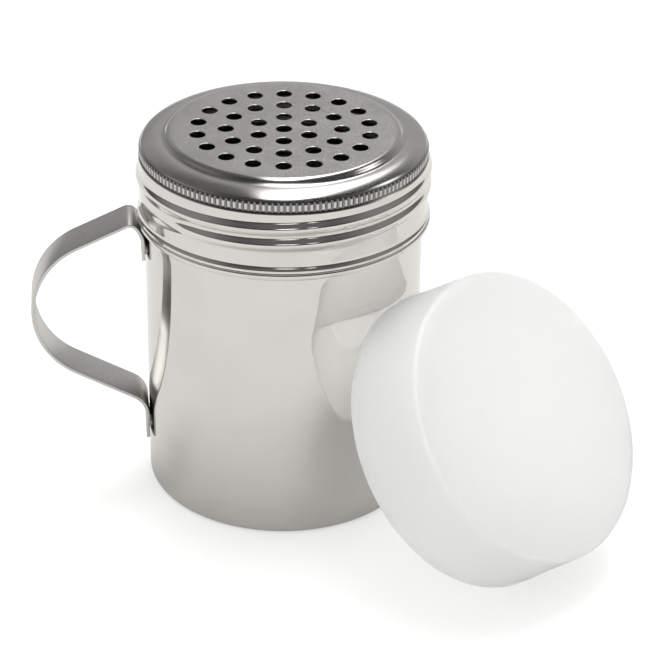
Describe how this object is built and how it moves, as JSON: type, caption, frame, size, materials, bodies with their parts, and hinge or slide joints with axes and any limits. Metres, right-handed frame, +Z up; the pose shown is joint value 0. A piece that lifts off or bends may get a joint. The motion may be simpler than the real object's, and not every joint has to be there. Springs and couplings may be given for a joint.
{
  "type": "sugar dredger",
  "caption": "Straight-sided metal sugar dredger with a strap handle and a domed, perforated screw lid, its shallow plastic cover leaning against it.",
  "frame": {"origin": "centre of the cup's flat base, on the surface that it stands on", "axes": "+Z up along the cup's axis; +X points straight away from the handle; the cover leans on the +X -Y side"},
  "size_m": [0.1488, 0.1192, 0.0968],
  "materials": {
    "cup_steel": "drawn stainless steel, bright polished",
    "lid_steel": "pressed stainless steel, bright sides and a fine brushed top",
    "handle_steel": "rolled stainless steel strap, semi-bright",
    "weld_steel": "spot-weld metal",
    "cover_plastic": "moulded milky translucent plastic, satin"
  },
  "bodies": {
    "dredger": {"cup": "cup_steel", "handle": "handle_steel", "handle_welds": "weld_steel"},
    "lid": {"perforated_lid": "lid_steel"},
    "cover": {"cover": "cover_plastic"}
  },
  "joints": [
    {"name": "lid_lift", "type": "slide", "parent": "dredger", "child": "lid", "axis": [0, 0, 1], "range_m": [0, 0.035]},
    {"name": "cover_lift", "type": "slide", "parent": "dredger", "child": "cover", "axis": [0.5719, -0.539, 0.6184], "range_m": [0, 0.06]}
  ]
}
